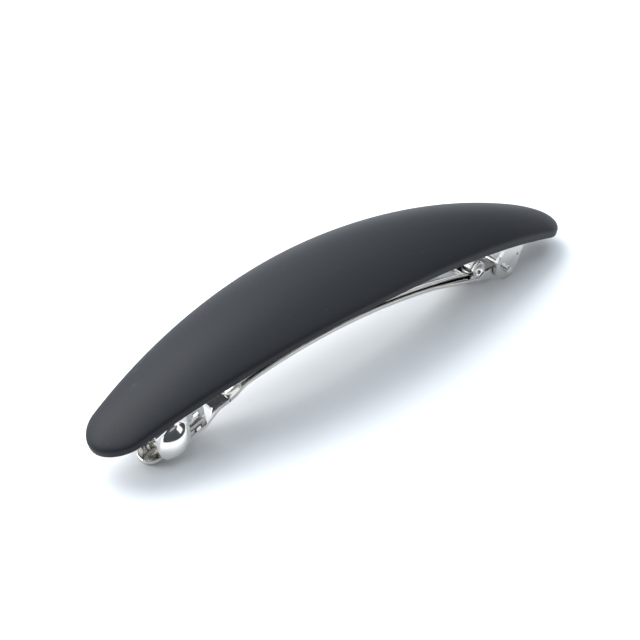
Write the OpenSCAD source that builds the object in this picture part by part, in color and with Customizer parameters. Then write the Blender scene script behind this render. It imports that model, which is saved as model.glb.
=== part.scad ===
// French-clip barrette: a long arched cover bonded over a sprung steel clip.
// Millimetres. X runs along the barrette (clasp at -X, hinge at +X), Y across it, Z up.
// The origin is at the middle of the footprint, on the surface that the closed clip rests on.
// Every strip is bent about one axis, parallel to Y, so its level is given as a radius from it,
// and its places along the clip are X values measured from the middle of the arch.

/* [Cover] */
// Length along the underside, tip to tip
cover_length = 105; // [85:1:120]
// Width across the widest point
cover_width = 20.6; // [17:0.2:23]
// Radius of the arched underside
arch_r = 130; // [115:1:160]
// Thickness on the centre line at the middle
cover_thickness = 5.5; // [5:0.1:6.5]
// Thickness on the centre line at the two tips
tip_thickness = 2.8; // [2:0.1:3.4]
// Radius of the crown across the width
crown_r = 21; // [19:1:40]
// How far the cover's middle sits towards the hinge, along the arch
cover_shift = 5.4; // [3:0.1:7]
// Curve of the sides in plan: higher keeps the width further out
side_curve = 1.8; // [1.6:0.05:2.4]
// Width where the rounded tips begin
tip_width = 10.8; // [8:0.2:13]
// Length of each rounded tip
tip_length = 5; // [3:0.1:7]

/* [Base plate] */
// Thickness of the bond between cover and plate
bond_t = 0.25; // [0.15:0.05:0.5]
// Thickness of the arched plate
base_t = 0.75; // [0.6:0.05:1]
// Width of the arched plate
base_w = 8; // [7.6:0.2:9]
// Radius of the fixing holes along the plate
fixing_hole_r = 0.9; // [0.6:0.1:1.2]
// Distance between the fixing holes
fixing_pitch = 14; // [10:1:16]
// Thickness of each ear
ear_t = 0.7; // [0.5:0.05:0.8]
// Length of each ear along the plate, at its rounded end
ear_w = 5; // [4:0.1:5.4]
// Length of each ear along the plate, where it leaves the plate
ear_root_w = 4; // [3.4:0.1:4.6]
// How far each ear's root sits beyond its rounded end
ear_lean = 0.95; // [0:0.05:1.2]

/* [Hinge] */
// Distance of the hinge from the middle of the arch, along X
hinge_x = 42.4; // [38:0.1:44]
// Radius of the hinge pin
pin_r = 0.6; // [0.5:0.05:0.7]
// How far each pin end stands out of its ear
pin_out = 1; // [0.4:0.1:1.4]
// Pin below the centre of the ear's rounded end
pin_drop = 0.5; // [0.1:0.05:0.6]

/* [Closing arm] */
// Depth of the arm's underside below the cover's underside
arm_depth = 7.3; // [7.2:0.05:7.6]
// Thickness of the arm
arm_t = 0.6; // [0.5:0.05:0.7]
// Width of the arm's long strip
arm_w = 5.2; // [4.6:0.1:5.6]
// Depth of the window frame's underside below the cover's underside
frame_depth = 8.75; // [8.5:0.05:9]
// Outside width of the window frame
frame_w = 6.6; // [6.2:0.1:6.8]
// Length of the window
window_length = 9.7; // [8.8:0.1:10.2]
// Width of each side rail of the frame
rail_w = 0.9; // [0.7:0.05:1]
// Width of the neck between the frame and the strip
neck_w = 4.2; // [3.6:0.1:4.6]
// Radius of the round thumb tab
tab_r = 2.6; // [2.2:0.1:3]
// Reach of the thumb tab's tip from the middle of the arch, along X
tab_reach = 36.7; // [34:0.1:39]

/* [Tension bar] */
// Thickness of the bar
bar_t = 0.5; // [0.4:0.05:0.6]
// Width of the bar
bar_w = 4.4; // [3.8:0.1:4.6]
// Reach of the free end from the middle of the arch, along X
bar_reach = 18; // [14:0.5:20]
// Outside radius of the curled end
curl_r = 1.25; // [1.1:0.05:1.35]
// Distance of the curl's axis from the hinge, along X
curl_inset = 5.5; // [5.4:0.1:8]

/* [Clasp] */
// Distance of the finger pads' centre from the thumb tab's tip, along X
pad_inset = 3.3; // [3:0.1:3.8]
// Radius of each domed finger pad
pad_r = 3.9; // [3.6:0.1:4.2]
// Height of the pads' centre above the resting surface
pad_height = 5.1; // [4.8:0.1:5.4]
// Distance of the dome's centre from the centre line
pad_side = 2.4; // [2.1:0.1:2.6]
// Thickness of the jaws and their bridge
jaw_t = 0.5; // [0.4:0.05:0.6]
// Length of the clasp's bridge along the arch
clasp_length = 7; // [6.4:0.1:7.6]
// Radius of the rivet shanks
rivet_r = 0.7; // [0.5:0.05:0.8]
// Radius of the rivet heads
rivet_head_r = 1.2; // [1:0.05:1.3]

/* [Hidden] */
$fn = 96;
arc_fn = 720;         // smoothness of the long bends
touch_gap = 0.02;     // between parts that are fixed to each other
run_gap = 0.08;       // radial clearance of a turning fit
side_gap = 0.15;      // between flat faces that turn past each other
lay_gap = 0.2;        // between the tension bar and the arm it lies on
catch_gap = 0.1;      // between the jaws' hooks and the frame's rails
merge = 0.05;         // how far joined shapes reach into each other
past = 1;             // how far a cut runs past the surface it opens
far = 400;            // larger than the whole clip

// Levels, as radii from the bend axis.
base_top_r = arch_r - bond_t;
base_low_r = base_top_r - base_t;
arm_low_r = arch_r - arm_depth;
arm_top_r = arm_low_r + arm_t;
frame_low_r = arch_r - frame_depth;
frame_top_r = frame_low_r + arm_t;
bar_low_r = arm_top_r + lay_gap;
bar_top_r = bar_low_r + bar_t;

// The closed clip rests on the thumb tab's tip and on the two ears.
axis_z = -sqrt(pow(frame_low_r, 2) - pow(tab_reach, 2));

// Ears, pin and the arm's eyes.
ear_end_r = ear_w / 2;
ear_dir = atan2(hinge_x, ear_end_r - axis_z);
ear_centre_r = norm([hinge_x, ear_end_r - axis_z]);
ear_root_h = base_low_r - ear_centre_r + base_t / 2;
pip_r = 0.2;
pip_drop = 1.2;
pin_axis_r = ear_centre_r - pin_drop;
ear_in_y = base_w / 2 - ear_t;
pin_half = base_w / 2 + pin_out;
eye_out_y = ear_in_y - side_gap;
eye_t = 0.6;
eye_r = 1.6;

// The cover's place on the arch, and the middle of its length.
cover_tilt = cover_shift / arch_r * 180 / PI;
cover_half = cover_length / arch_r * 90 / PI;
top_r = 1 / (1 / arch_r + (cover_thickness - tip_thickness) * 8 / pow(cover_length, 2));
crown_depth = 12;
tip_r = arch_r + tip_thickness / 2;
middle_x = tip_r * (sin(cover_tilt - cover_half) + sin(cover_tilt + cover_half)) / 2;
plan_steps = 90;

// The plate's ends and fixing holes.
plate_end = 0.6;
ear_root_x = base_low_r * sin(ear_dir) + (ear_lean + ear_root_w / 2) * cos(ear_dir);
pad_reach = tab_reach - pad_inset;
plate_from_x = -pad_reach - clasp_length / 2 - 2 * plate_end;
plate_to_x = ear_root_x + plate_end;
fixing_mid_x = 2;
bond_inset = 0.5;

// The clasp: bridge, bend roots, pads and prongs.
clasp_dir = -atan2(pad_reach, pad_height - axis_z);
pad_level = norm([pad_reach, pad_height - axis_z]);
bridge_low_r = base_low_r - jaw_t;
jaw_length = clasp_length - 0.4;
jaw_gap = 0.1;
root_r = jaw_t / 2;
root_level_r = base_low_r - jaw_gap - root_r;
root_y = 3;
wall_in_y = 4.1;
wall_out_y = wall_in_y + jaw_t;
wall_disc_r = sqrt(pow(pad_r, 2) - pow(wall_out_y - pad_side, 2)) + 0.15;
rivet_spread = 2.2;
rivet_head_t = 0.5;

// The window frame, measured back from the thumb tab, and what hooks into it.
window_inset = 4.6;
window_from_x = window_inset - tab_reach;
window_to_x = window_from_x + window_length;
window_taper = 1.4;
rail_in_y = frame_w / 2 - rail_w;
neck_x = window_to_x + 3.4;
step_run = 3.8;
step_from_x = neck_x + step_run;
prong_y = 1.35;
prong_length = window_length - 2.3;
prong_from_x = window_from_x + 0.7;
prong_to_x = prong_from_x + prong_length;
prong_low_r = frame_low_r - 0.7;
shelf_r = bridge_low_r - 0.3 - jaw_t;
shelf_angle = 1.3;
barb_h = 0.4;
slot_size = 1.2;
slot_rise = 2.3;
slot_margin = 1.1;

// The arm's wide end, and the curl with the cheeks that hold it.
strip_end_x = hinge_x - 3.1;
widen_x = hinge_x - 10.6;
widen_run = 5;
eye_rise = 1.1;
seat_r = arm_low_r + arm_t / 2;
curl_x = hinge_x - curl_inset;
curl_axis_r = bar_low_r + curl_r;
curl_dir = asin(curl_x / curl_axis_r);
cheek_t = 0.5;
cheek_in_y = bar_w / 2 + 0.25;
cheek_r = 1.4;
cheek_foot = 0.6;
dimple_r = curl_r - bar_t - run_gap;
dimple_in_y = cheek_in_y - 0.9;

// Angle round the arch of an X value at a level.
function angle_at(x, level) = asin(x / level);

// Point at an X and a level, both from the bend axis, in the X-Z plane.
function on_level(x, level) = [x, sqrt(pow(level, 2) - pow(x, 2))];

// Outline closed by the mirror image of a side given as [x, half width] points.
function both_sides(side) =
    concat(side, [for (i = [len(side) - 1 : -1 : 0]) [side[i][0], -side[i][1]]]);

// Moves a shape drawn about the bend axis into the barrette's own frame.
module from_axis() {
    translate([-middle_x, 0, axis_z]) children();
}

// Places a shape at an angle round the arch, at a distance from the bend axis, upright there.
module at_level(angle, level) {
    from_axis() rotate([0, angle, 0]) translate([0, 0, level]) children();
}

// Bent strip between two levels, two Y values, and two angles from the top of the arch.
module bent_strip(low, high, y_from, y_to, from_angle, to_angle) {
    from_axis()
        rotate([90, 0, 0])
            rotate_extrude(angle = to_angle - from_angle, start = 90 - to_angle, $fn = arc_fn)
                translate([low, -y_to]) square([high - low, y_to - y_from]);
}

// Upright block cut from a plan outline that is measured from the middle of the arch.
module plan_block() {
    translate([-middle_x, 0, -far]) linear_extrude(height = 2 * far) children();
}

// Flat shape in the X-Z plane, from one Y to another, measured from the bend axis.
module side_plate(y_from, y_to) {
    from_axis()
        translate([0, y_to, 0])
            rotate([90, 0, 0])
                linear_extrude(height = y_to - y_from) children();
}

// Cylinder along Y at an angle and level, from one Y to another.
module cross_rod(angle, level, radius, y_from, y_to) {
    at_level(angle, level)
        translate([0, y_to, 0])
            rotate([90, 0, 0]) cylinder(r = radius, h = y_to - y_from);
}

// ---------------------------------------------------------------- cover
// Half the cover's width at a distance along the arch from its middle.
function cover_half_w(s) =
    let (side_end = cover_length / 2 - tip_length,
         side = cover_width / 2 - (cover_width - tip_width) / 2 * pow(abs(s) / side_end, side_curve),
         round = max(0, abs(s) - side_end) / tip_length)
    side * sqrt(max(0, 1 - pow(round, 2)));

module cover_plan() {
    side = [for (i = [0 : plan_steps])
                let (share = -cos(180 * i / plan_steps))
                [tip_r * sin(share * cover_half), cover_half_w(share * cover_length / 2)]];
    far_side = [for (i = [1 : plan_steps - 1])
                    let (p = side[plan_steps - i]) [p[0], -p[1]]];
    polygon(concat(side, far_side));
}

// Ring whose outside is rounded across the width and arched along the length.
module crown_body() {
    rotate([90, 0, 0])
        rotate_extrude($fn = arc_fn / 2)
            intersection() {
                translate([top_r - crown_r, 0]) circle(r = crown_r);
                translate([top_r - crown_depth, -cover_width]) square([crown_depth + past, 2 * cover_width]);
            }
}

module cover() {
    color([0.16, 0.17, 0.19])
        from_axis()
            rotate([0, cover_tilt, 0])
                intersection() {
                    translate([0, 0, arch_r + cover_thickness - top_r]) crown_body();
                    difference() {
                        linear_extrude(height = far) cover_plan();
                        rotate([90, 0, 0]) cylinder(r = arch_r, h = far, center = true, $fn = arc_fn);
                    }
                }
}

// ---------------------------------------------------------------- base plate and bond
module bond() {
    half_w = base_w / 2 - bond_inset;
    color([0.78, 0.76, 0.68])
        bent_strip(base_top_r + touch_gap, arch_r - touch_gap, -half_w, half_w,
                   angle_at(plate_from_x + 2 * bond_inset, arch_r),
                   angle_at(plate_to_x - 2 * bond_inset, arch_r));
}

// Ear folded down from the plate's edge: a rounded end, narrowing and leaning towards its root.
module ear(side) {
    y_mid = side * (base_w / 2 - ear_t / 2);
    root_half = ear_root_w / 2;
    difference() {
        at_level(ear_dir, ear_centre_r)
            translate([0, y_mid + ear_t / 2, 0])
                rotate([90, 0, 0])
                    linear_extrude(height = ear_t)
                        difference() {
                            union() {
                                circle(r = ear_end_r);
                                polygon([[-ear_end_r, 0], [ear_end_r, 0],
                                         [ear_lean + root_half, ear_root_h],
                                         [ear_lean - root_half, ear_root_h]]);
                            }
                            translate([ear_lean + root_half / 2, ear_root_h - base_t - pip_drop])
                                circle(r = pip_r);
                        }
        cross_rod(ear_dir, pin_axis_r, pin_r + touch_gap, y_mid - ear_t, y_mid + ear_t);
    }
}

module base_plate() {
    color([0.78, 0.78, 0.76])
        difference() {
            union() {
                bent_strip(base_low_r, base_top_r, -base_w / 2, base_w / 2,
                           angle_at(plate_from_x, base_low_r), angle_at(plate_to_x, base_low_r));
                ear(-1);
                ear(1);
            }
            for (i = [-1 : 1])
                at_level(angle_at(fixing_mid_x + i * fixing_pitch, base_low_r), base_low_r - past)
                    cylinder(r = fixing_hole_r, h = base_t + 2 * past);
            rivet_holes();
        }
}

// ---------------------------------------------------------------- hinge pin
module hinge_pin() {
    color([0.72, 0.72, 0.7])
        cross_rod(ear_dir, pin_axis_r, pin_r, -pin_half, pin_half);
}

// ---------------------------------------------------------------- clasp
// Each rivet's or rivet hole's place, upright at the bend axis.
module at_rivets() {
    for (side = [-1, 1])
        at_level(clasp_dir + side * rivet_spread / base_low_r * 180 / PI, 0) children();
}

module rivet_holes() {
    at_rivets()
        translate([0, 0, bridge_low_r - past])
            cylinder(r = rivet_r + touch_gap, h = jaw_t + base_t + 2 * past);
}

module clasp_rivets() {
    head_low_r = bridge_low_r - rivet_head_t;
    color([0.7, 0.7, 0.68])
        at_rivets()
            translate([0, 0, head_low_r])
                union() {
                    cylinder(r = rivet_r, h = base_top_r - head_low_r);
                    cylinder(r = rivet_head_r, h = rivet_head_t - touch_gap);
                }
}

module clasp_bridge() {
    half_angle = clasp_length / 2 / base_low_r * 180 / PI;
    half_w = root_y - root_r - run_gap;
    color([0.76, 0.76, 0.74])
        difference() {
            bent_strip(bridge_low_r, base_low_r - touch_gap, -half_w, half_w,
                       clasp_dir - half_angle, clasp_dir + half_angle);
            rivet_holes();
        }
}

// One jaw on the -Y side: root, domed finger pad outside the frame, hooked prong inside it.
module jaw() {
    union() {
        // bend root and the short web that leads outwards from it
        at_level(clasp_dir, root_level_r)
            translate([0, -root_y, 0])
                rotate([0, 90, 0]) cylinder(r = root_r, h = jaw_length, center = true);
        at_level(clasp_dir, root_level_r)
            translate([-jaw_length / 2, -wall_out_y, -root_r])
                cube([jaw_length, wall_out_y - root_y, jaw_t]);
        jaw_pad();
        // shelf under the bridge, leading in to the prong
        bent_strip(shelf_r, shelf_r + jaw_t, -wall_in_y - merge, -prong_y,
                   clasp_dir - shelf_angle, clasp_dir + shelf_angle);
        jaw_prong();
    }
}

// Upright wall with its hollow dome.
module jaw_pad() {
    dome_depth = pad_side + pad_r + past;
    at_level(clasp_dir, pad_level)
        difference() {
            union() {
                translate([0, -wall_in_y, 0])
                    rotate([90, 0, 0])
                        linear_extrude(height = jaw_t)
                            union() {
                                circle(r = wall_disc_r);
                                translate([-jaw_length / 2, 0])
                                    square([jaw_length, root_level_r + root_r - pad_level]);
                            }
                intersection() {
                    translate([0, -pad_side, 0]) sphere(r = pad_r);
                    translate([-pad_r, -dome_depth, -pad_r])
                        cube([2 * pad_r, dome_depth - wall_out_y + merge, 2 * pad_r]);
                }
            }
            translate([0, -pad_side, 0]) sphere(r = pad_r - jaw_t);
        }
}

// Upright blade inside the window, with a hook along its foot and a small square slot.
module jaw_prong() {
    from_angle = angle_at(prong_from_x, prong_low_r);
    to_angle = angle_at(prong_to_x, prong_low_r);
    slot_to_x = prong_to_x - slot_margin;
    slot_low_r = prong_low_r + slot_rise;
    difference() {
        union() {
            bent_strip(prong_low_r, shelf_r + jaw_t, -prong_y - jaw_t, -prong_y, from_angle, to_angle);
            bent_strip(prong_low_r, prong_low_r + barb_h, catch_gap - rail_in_y, merge - prong_y - jaw_t,
                       from_angle, to_angle);
        }
        bent_strip(slot_low_r, slot_low_r + slot_size, -prong_y - past, -prong_y + past,
                   angle_at(slot_to_x - slot_size, prong_low_r), angle_at(slot_to_x, prong_low_r));
    }
}

module near_jaw() {
    color([0.82, 0.82, 0.8]) jaw();
}

module far_jaw() {
    color([0.82, 0.82, 0.8]) mirror([0, 1, 0]) jaw();
}

// ---------------------------------------------------------------- closing arm
// Plan of the arm: wide at the eyes, a long strip, a neck, the window frame and the round tab.
module arm_plan() {
    shoulder_x = window_to_x + 1;
    difference() {
        union() {
            polygon(both_sides([
                [strip_end_x, eye_out_y], [widen_x, eye_out_y], [widen_x - widen_run, arm_w / 2],
                [step_from_x, arm_w / 2], [neck_x, neck_w / 2], [shoulder_x, neck_w / 2],
                [shoulder_x - step_run, frame_w / 2], [window_from_x, frame_w / 2],
                [tab_r - tab_reach, tab_r]]));
            translate([tab_r - tab_reach, 0]) circle(r = tab_r);
        }
        polygon(both_sides([
            [window_to_x, rail_in_y / 2], [window_to_x - window_taper, rail_in_y],
            [window_from_x, rail_in_y]]));
    }
}

// Side view of the arm's step from the strip's level down to the frame's.
module arm_step() {
    side_plate(-arm_w, arm_w)
        polygon([
            on_level(step_from_x + merge, arm_low_r), on_level(step_from_x + merge, arm_top_r),
            on_level(step_from_x, arm_top_r), on_level(neck_x, frame_top_r),
            on_level(neck_x - merge, frame_top_r), on_level(neck_x - merge, frame_low_r),
            on_level(neck_x, frame_low_r), on_level(step_from_x, arm_low_r)]);
}

// Eye that turns on the pin, with the arm's raised side wall leading to it.
module arm_eye(side) {
    y_low = side > 0 ? eye_out_y - eye_t : -eye_out_y;
    pin_at = pin_axis_r * [sin(ear_dir), cos(ear_dir)];
    side_plate(y_low, y_low + eye_t)
        difference() {
            union() {
                translate(pin_at) circle(r = eye_r);
                polygon([
                    on_level(strip_end_x - eye_r, seat_r), on_level(strip_end_x - eye_r, seat_r + eye_rise),
                    pin_at + [-eye_r / 2, eye_r / 2], pin_at - [0, eye_r / 2],
                    on_level(strip_end_x - merge, seat_r)]);
            }
            translate(pin_at) circle(r = pin_r + run_gap);
        }
}

// Cheek raised from the arm's edge, with the inward dimple that holds the bar's curl.
module bar_cheek(side) {
    y_low = side > 0 ? cheek_in_y : -cheek_in_y - cheek_t;
    y_dimple = side > 0 ? dimple_in_y : -cheek_in_y - merge;
    curl_at = curl_axis_r * [sin(curl_dir), cos(curl_dir)];
    cross_rod(curl_dir, curl_axis_r, dimple_r, y_dimple, y_dimple + cheek_in_y - dimple_in_y + merge);
    side_plate(y_low, y_low + cheek_t)
        union() {
            translate(curl_at) circle(r = cheek_r);
            polygon([
                on_level(curl_x - cheek_r - cheek_foot, seat_r), curl_at - [cheek_r / 2, 0],
                curl_at + [cheek_r / 2, 0], on_level(curl_x + cheek_r + cheek_foot, seat_r)]);
        }
}

module closing_arm() {
    color([0.8, 0.8, 0.78])
        union() {
            intersection() {
                union() {
                    bent_strip(arm_low_r, arm_top_r, -base_w, base_w,
                               angle_at(step_from_x, arm_low_r), angle_at(strip_end_x, arm_low_r));
                    arm_step();
                    bent_strip(frame_low_r, frame_top_r, -base_w, base_w,
                               angle_at(-tab_reach - past, frame_low_r), angle_at(neck_x, frame_low_r));
                }
                plan_block() arm_plan();
            }
            for (side = [-1, 1]) {
                arm_eye(side);
                bar_cheek(side);
            }
        }
}

// ---------------------------------------------------------------- tension bar
module bar_plan() {
    round_x = bar_w / 2 - bar_reach;
    union() {
        translate([round_x, 0]) circle(r = bar_w / 2);
        translate([round_x, -bar_w / 2]) square([curl_x - round_x, bar_w]);
    }
}

module tension_bar() {
    color([0.74, 0.74, 0.72])
        union() {
            intersection() {
                bent_strip(bar_low_r, bar_top_r, -bar_w, bar_w,
                           angle_at(-bar_reach - past, bar_low_r), curl_dir);
                plan_block() bar_plan();
            }
            at_level(curl_dir, curl_axis_r)
                rotate([90, 0, 0])
                    rotate([0, 0, -90])
                        rotate_extrude(angle = 270)
                            translate([curl_r - bar_t, -bar_w / 2]) square([bar_t, bar_w]);
        }
}

cover();
bond();
base_plate();
clasp_bridge();
clasp_rivets();
near_jaw();
far_jaw();
closing_arm();
tension_bar();
hinge_pin();
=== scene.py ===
import math

import bmesh
import bpy
import numpy as np
from mathutils import Matrix, Vector


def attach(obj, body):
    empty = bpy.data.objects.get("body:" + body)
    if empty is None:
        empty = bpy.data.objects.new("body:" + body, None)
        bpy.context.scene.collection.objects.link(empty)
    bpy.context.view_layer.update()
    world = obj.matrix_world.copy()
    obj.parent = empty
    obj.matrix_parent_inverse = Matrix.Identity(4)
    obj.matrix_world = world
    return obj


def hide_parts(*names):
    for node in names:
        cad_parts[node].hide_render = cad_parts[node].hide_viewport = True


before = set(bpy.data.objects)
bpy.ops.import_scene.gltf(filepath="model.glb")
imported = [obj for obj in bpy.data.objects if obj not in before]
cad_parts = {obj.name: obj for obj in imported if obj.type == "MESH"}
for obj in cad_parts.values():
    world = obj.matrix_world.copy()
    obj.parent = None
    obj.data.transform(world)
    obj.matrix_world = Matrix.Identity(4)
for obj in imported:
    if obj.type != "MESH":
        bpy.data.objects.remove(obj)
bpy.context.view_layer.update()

MM = 0.001

# ---------------------------------------------------------------- sizes, as in the part's source
COVER_LENGTH = 105.0
COVER_WIDTH = 20.6
ARCH_R = 130.0            # underside of the cover, from the axis the clip is bent about
COVER_T = 5.5             # in the middle of the cover
TIP_T = 2.8               # at its two tips
CROWN_R = 21.0            # crown's radius across the width
COVER_SHIFT = 5.4         # how far the cover sits towards the hinge end
SIDE_CURVE = 1.8          # power of the sides' narrowing towards the tips
TIP_WIDTH = 10.8
TIP_LENGTH = 5.0          # length over which each tip is rounded

BASE_LOW_R = 129.0
BASE_TOP_R = 129.75
EAR_END_R = 2.5           # radius of the ears' round ends

HINGE_X = 42.4
PIN_R = 0.6
PIN_HALF = 5.0
PIN_DROP = 0.5

ARM_T = 0.6
ARM_W = 5.2
ARM_LOW_R = ARCH_R - 7.3
FRAME_LOW_R = ARCH_R - 8.75
FRAME_W = 6.6
RAIL_W = 0.9
NECK_W = 4.2
TAB_R = 2.6
TAB_REACH = 36.7          # tip of the thumb tab, from the middle of the arch
WINDOW_FROM_X = 4.6 - TAB_REACH
WINDOW_TO_X = WINDOW_FROM_X + 9.7
WINDOW_TAPER = 1.4
NECK_X = WINDOW_TO_X + 3.4
STEP_RUN = 3.8
STEP_FROM_X = NECK_X + STEP_RUN
STRIP_END_X = HINGE_X - 3.1
WIDEN_X = HINGE_X - 10.6
WIDEN_RUN = 5.0
EYE_R = 1.6
EYE_T = 0.6
EYE_BORE_R = 0.68
EYE_OUT_Y = 3.15
EYE_RISE = 1.1
WALL_RUN = 1.6            # length over which each eye's side wall rises from the strip
WALL_INSET = 0.04         # strip's edge inside the side walls' faces

BAR_T = 0.5
BAR_W = 4.4
BAR_REACH = 18.0
BAR_TIP_SHARE = 0.15      # flat at the free end's tip, as a share of the bar's width
BAR_LOW_R = ARM_LOW_R + ARM_T + 0.2
CURL_R = 1.25
CURL_X = HINGE_X - 5.5
CURL_AXIS_R = BAR_LOW_R + CURL_R
CHEEK_R = 1.4
CHEEK_T = 0.5
CHEEK_IN_Y = 2.45
CHEEK_FOOT = 0.6

JAW_T = 0.5
JAW_LENGTH = 6.6
PAD_REACH = TAB_REACH - 3.3
PAD_R = 3.9
PAD_SIDE = 2.4            # how far the pad's sphere is centred from the middle of the clip
PAD_HEIGHT = 5.1          # pad's centre above the ground
WALL_IN_Y = 4.1
ROOT_Y = 3.0              # line on which each jaw turns, from the middle of the clip
ROOT_LEVEL_R = BASE_LOW_R - 0.1 - JAW_T / 2
SHELF_R = BASE_LOW_R - JAW_T - 0.3 - JAW_T
PRONG_Y = 1.35
PRONG_LOW_R = FRAME_LOW_R - 0.7
PRONG_FROM_X = WINDOW_FROM_X + 0.7
PRONG_TO_X = PRONG_FROM_X + 7.4
SLOT_SIZE = 1.2
SLOT_RISE = 2.3
SLOT_MARGIN = 1.1
HOOK_Y = 2.3
HOOK_H = 0.4
RIVET_R = 0.7
RIVET_HEAD_R = 1.2
RIVET_HEAD_T = 0.5
RIVET_SPREAD = 2.2

STAMPED_EDGE = 0.1        # rounding of the stamped parts' edges
KEPT_EDGE = 0.06          # rounding of the stampings kept from the frame
EDGE_STEPS = 4            # points round a quarter turn of an edge
LAP = 0.25                # how far the strip runs into the window frame's neck
HALF_LENGTH = COVER_LENGTH / 2
COVER_TILT = COVER_SHIFT / ARCH_R
COVER_HALF = HALF_LENGTH / ARCH_R
AXIS_Z = -math.sqrt(FRAME_LOW_R ** 2 - TAB_REACH ** 2)
TIP_LEVEL = ARCH_R + TIP_T / 2
MIDDLE_X = TIP_LEVEL * (math.sin(COVER_TILT - COVER_HALF) + math.sin(COVER_TILT + COVER_HALF)) / 2
EAR_DIR = math.atan2(HINGE_X, EAR_END_R - AXIS_Z)
PIN_AXIS_R = math.hypot(HINGE_X, EAR_END_R - AXIS_Z) - PIN_DROP
CLASP_DIR = -math.atan2(PAD_REACH, PAD_HEIGHT - AXIS_Z)
PAD_LEVEL = math.hypot(PAD_REACH, PAD_HEIGHT - AXIS_Z)
CURL_DIR = math.asin(CURL_X / CURL_AXIS_R)
AXIS = np.array([-MIDDLE_X, 0.0, AXIS_Z])
ACROSS = np.array([0.0, 1.0, 0.0])


# ---------------------------------------------------------------- places round the arch
def at_angle(angle, level, y=0.0):
    """The point at an angle from the top of the arch and a distance from the bend axis:
    x is the level times the sine, z the level times the cosine, both from the axis."""
    parts = np.broadcast_arrays(level * np.sin(angle), y, level * np.cos(angle))
    return np.stack(parts, -1) + AXIS


def at_x(x, level, y=0.0):
    """The point at an X measured from the middle of the arch, on a level:
    its angle is the one whose sine is x over the level."""
    return at_angle(np.arcsin(x / level), level, y)


def outward(angle):
    """Unit vector away from the bend axis at an angle from the top of the arch."""
    return np.stack(np.broadcast_arrays(np.sin(angle), 0.0, np.cos(angle)), -1)


def along(angle):
    """Unit vector along the arch, towards the hinge, at an angle from its top."""
    return np.stack(np.broadcast_arrays(np.cos(angle), 0.0, -np.sin(angle)), -1)


def ease(share):
    """Smooth step from 0 to 1: three times the square less twice the cube."""
    share = np.clip(share, 0.0, 1.0)
    return share * share * (3.0 - 2.0 * share)


def unit(vectors):
    """Vectors divided by their lengths."""
    return vectors / np.linalg.norm(vectors, axis=-1, keepdims=True)


def quarter_turn(steps):
    """Evenly spaced angles from 0 to a right angle."""
    return np.linspace(0.0, math.pi / 2, steps)


# ---------------------------------------------------------------- surfaces from grids
def closed_patch(points, round_u=False, caps=False):
    """Vertices and faces of a grid whose second parameter goes all the way round.
    The first parameter either goes round too, or ends in fans of triangles when caps is set."""
    nu, nv = points.shape[:2]
    index = np.arange(nu * nv).reshape(nu, nv)
    index = np.concatenate([index, index[:, :1]], 1)
    if round_u:
        index = np.concatenate([index, index[:1]], 0)
    quads = np.stack([index[:-1, :-1], index[1:, :-1], index[1:, 1:], index[:-1, 1:]], -1)
    verts = points.reshape(-1, 3)
    faces = quads.reshape(-1, 4)
    corners = np.concatenate([faces[:, [0, 1, 2]], faces[:, [0, 2, 3]]])
    fans = np.zeros((0, 3), int)
    if caps:
        verts = np.concatenate([verts, points[:1].mean(1), points[-1:].mean(1)])
        low, high = index[0], index[-1]
        fans = np.concatenate([
            np.stack([low[:-1], low[1:], np.full(nv, nu * nv)], -1),
            np.stack([high[1:], high[:-1], np.full(nv, nu * nv + 1)], -1)])
        corners = np.concatenate([corners, fans])
    a, b, c = (verts[corners[:, i]] - verts.mean(0) for i in range(3))
    if (a * np.cross(b, c)).sum() < 0:
        faces, fans = faces[:, ::-1], fans[:, ::-1]
    return verts, faces.tolist() + fans.tolist()


def piece(name, patches, body, node, material):
    """One object from closed patches given in millimetres. It rides on a body and stands for a
    node. Vertices that coincide, as on a spine or at a pole, are merged."""
    verts, faces, start = [], [], 0
    for patch_verts, patch_faces in patches:
        verts.append(patch_verts)
        faces.extend([[i + start for i in face] for face in patch_faces])
        start += len(patch_verts)
    mesh = bpy.data.meshes.new(name)
    mesh.from_pydata((np.concatenate(verts) * MM).tolist(), [], faces)
    work = bmesh.new()
    work.from_mesh(mesh)
    bmesh.ops.remove_doubles(work, verts=work.verts, dist=0.0002 * MM)
    bmesh.ops.dissolve_degenerate(work, edges=work.edges, dist=0.0001 * MM)
    for face in work.faces:
        face.smooth = True
    work.to_mesh(mesh)
    work.free()
    obj = bpy.data.objects.new(name, mesh)
    bpy.context.scene.collection.objects.link(obj)
    obj.data.materials.append(material)
    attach(obj, body)
    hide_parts(node)
    return obj


def even_normals(obj, by_strength=False):
    """Keeps the flat faces of a stamped part flat in shading, between its rounded edges. By
    strength, a bevel's new faces leave the normals of the faces beside them alone."""
    weighted = obj.modifiers.new("even_normals", "WEIGHTED_NORMAL")
    weighted.keep_sharp = True
    weighted.use_face_influence = by_strength


def sheet_section(thickness, edge, steps):
    """The section of a sheet with rounded edges, as a closed loop. Each point is a share of the
    half width, a number of edge radii beyond it, and a height from the middle of the sheet."""
    turn = quarter_turn(EDGE_STEPS)
    flat = np.linspace(1.0, -1.0, steps + 1)[1:-1]
    level = thickness / 2 - edge
    one = np.ones(EDGE_STEPS)
    share = np.concatenate([one, flat, -one, -one, -flat, one])
    extra = np.concatenate([
        np.cos(turn), 0 * flat, -np.sin(turn),
        -np.cos(turn), 0 * flat, np.sin(turn)])
    height = np.concatenate([
        level + edge * np.sin(turn), 0 * flat + thickness / 2, level + edge * np.cos(turn),
        -level - edge * np.sin(turn), 0 * flat - thickness / 2, -level - edge * np.cos(turn)])
    return share, extra, height


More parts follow.
